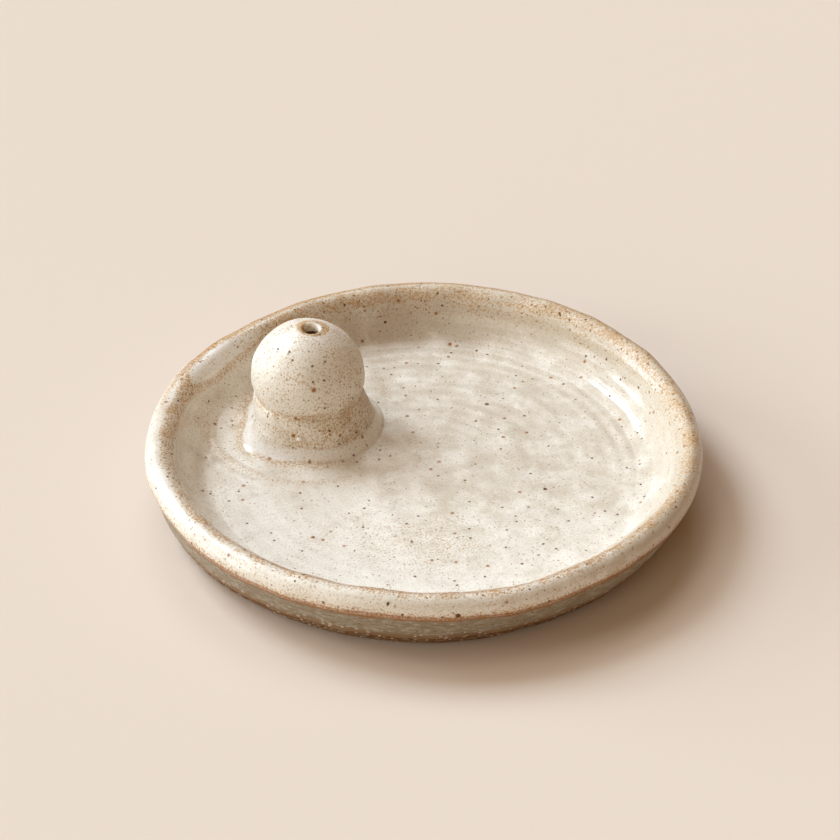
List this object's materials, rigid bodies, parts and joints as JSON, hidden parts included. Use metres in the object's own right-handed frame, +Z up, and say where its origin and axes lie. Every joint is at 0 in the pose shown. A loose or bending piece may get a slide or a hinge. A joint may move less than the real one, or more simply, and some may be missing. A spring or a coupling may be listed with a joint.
{
  "type": "incense stick holder",
  "caption": "Round shallow stoneware dish with a rolled rim and an off-centre ball on a flared pad; the ball's top hole holds an incense stick upright over the dish.",
  "frame": {"origin": "centre of the resting face, on the dish's own middle line", "axes": "+Z up through the middle of the dish; +X to the right and +Y away as the dish is seen from its front, with the ball at the back left"},
  "size_m": [0.12, 0.12, 0.0311],
  "materials": {
    "glaze": "oatmeal satin-gloss glaze over speckled stoneware",
    "bare_clay": "bare fired stoneware, matt and gritty"
  },
  "bodies": {
    "root": {"base_slab": "bare_clay", "wall_coil": "glaze", "rim_roll": "glaze", "holder_pad": "glaze", "stick_ball": "glaze", "ball_seam_slip": "glaze", "pad_fillet_slip": "glaze"}
  },
  "joints": []
}
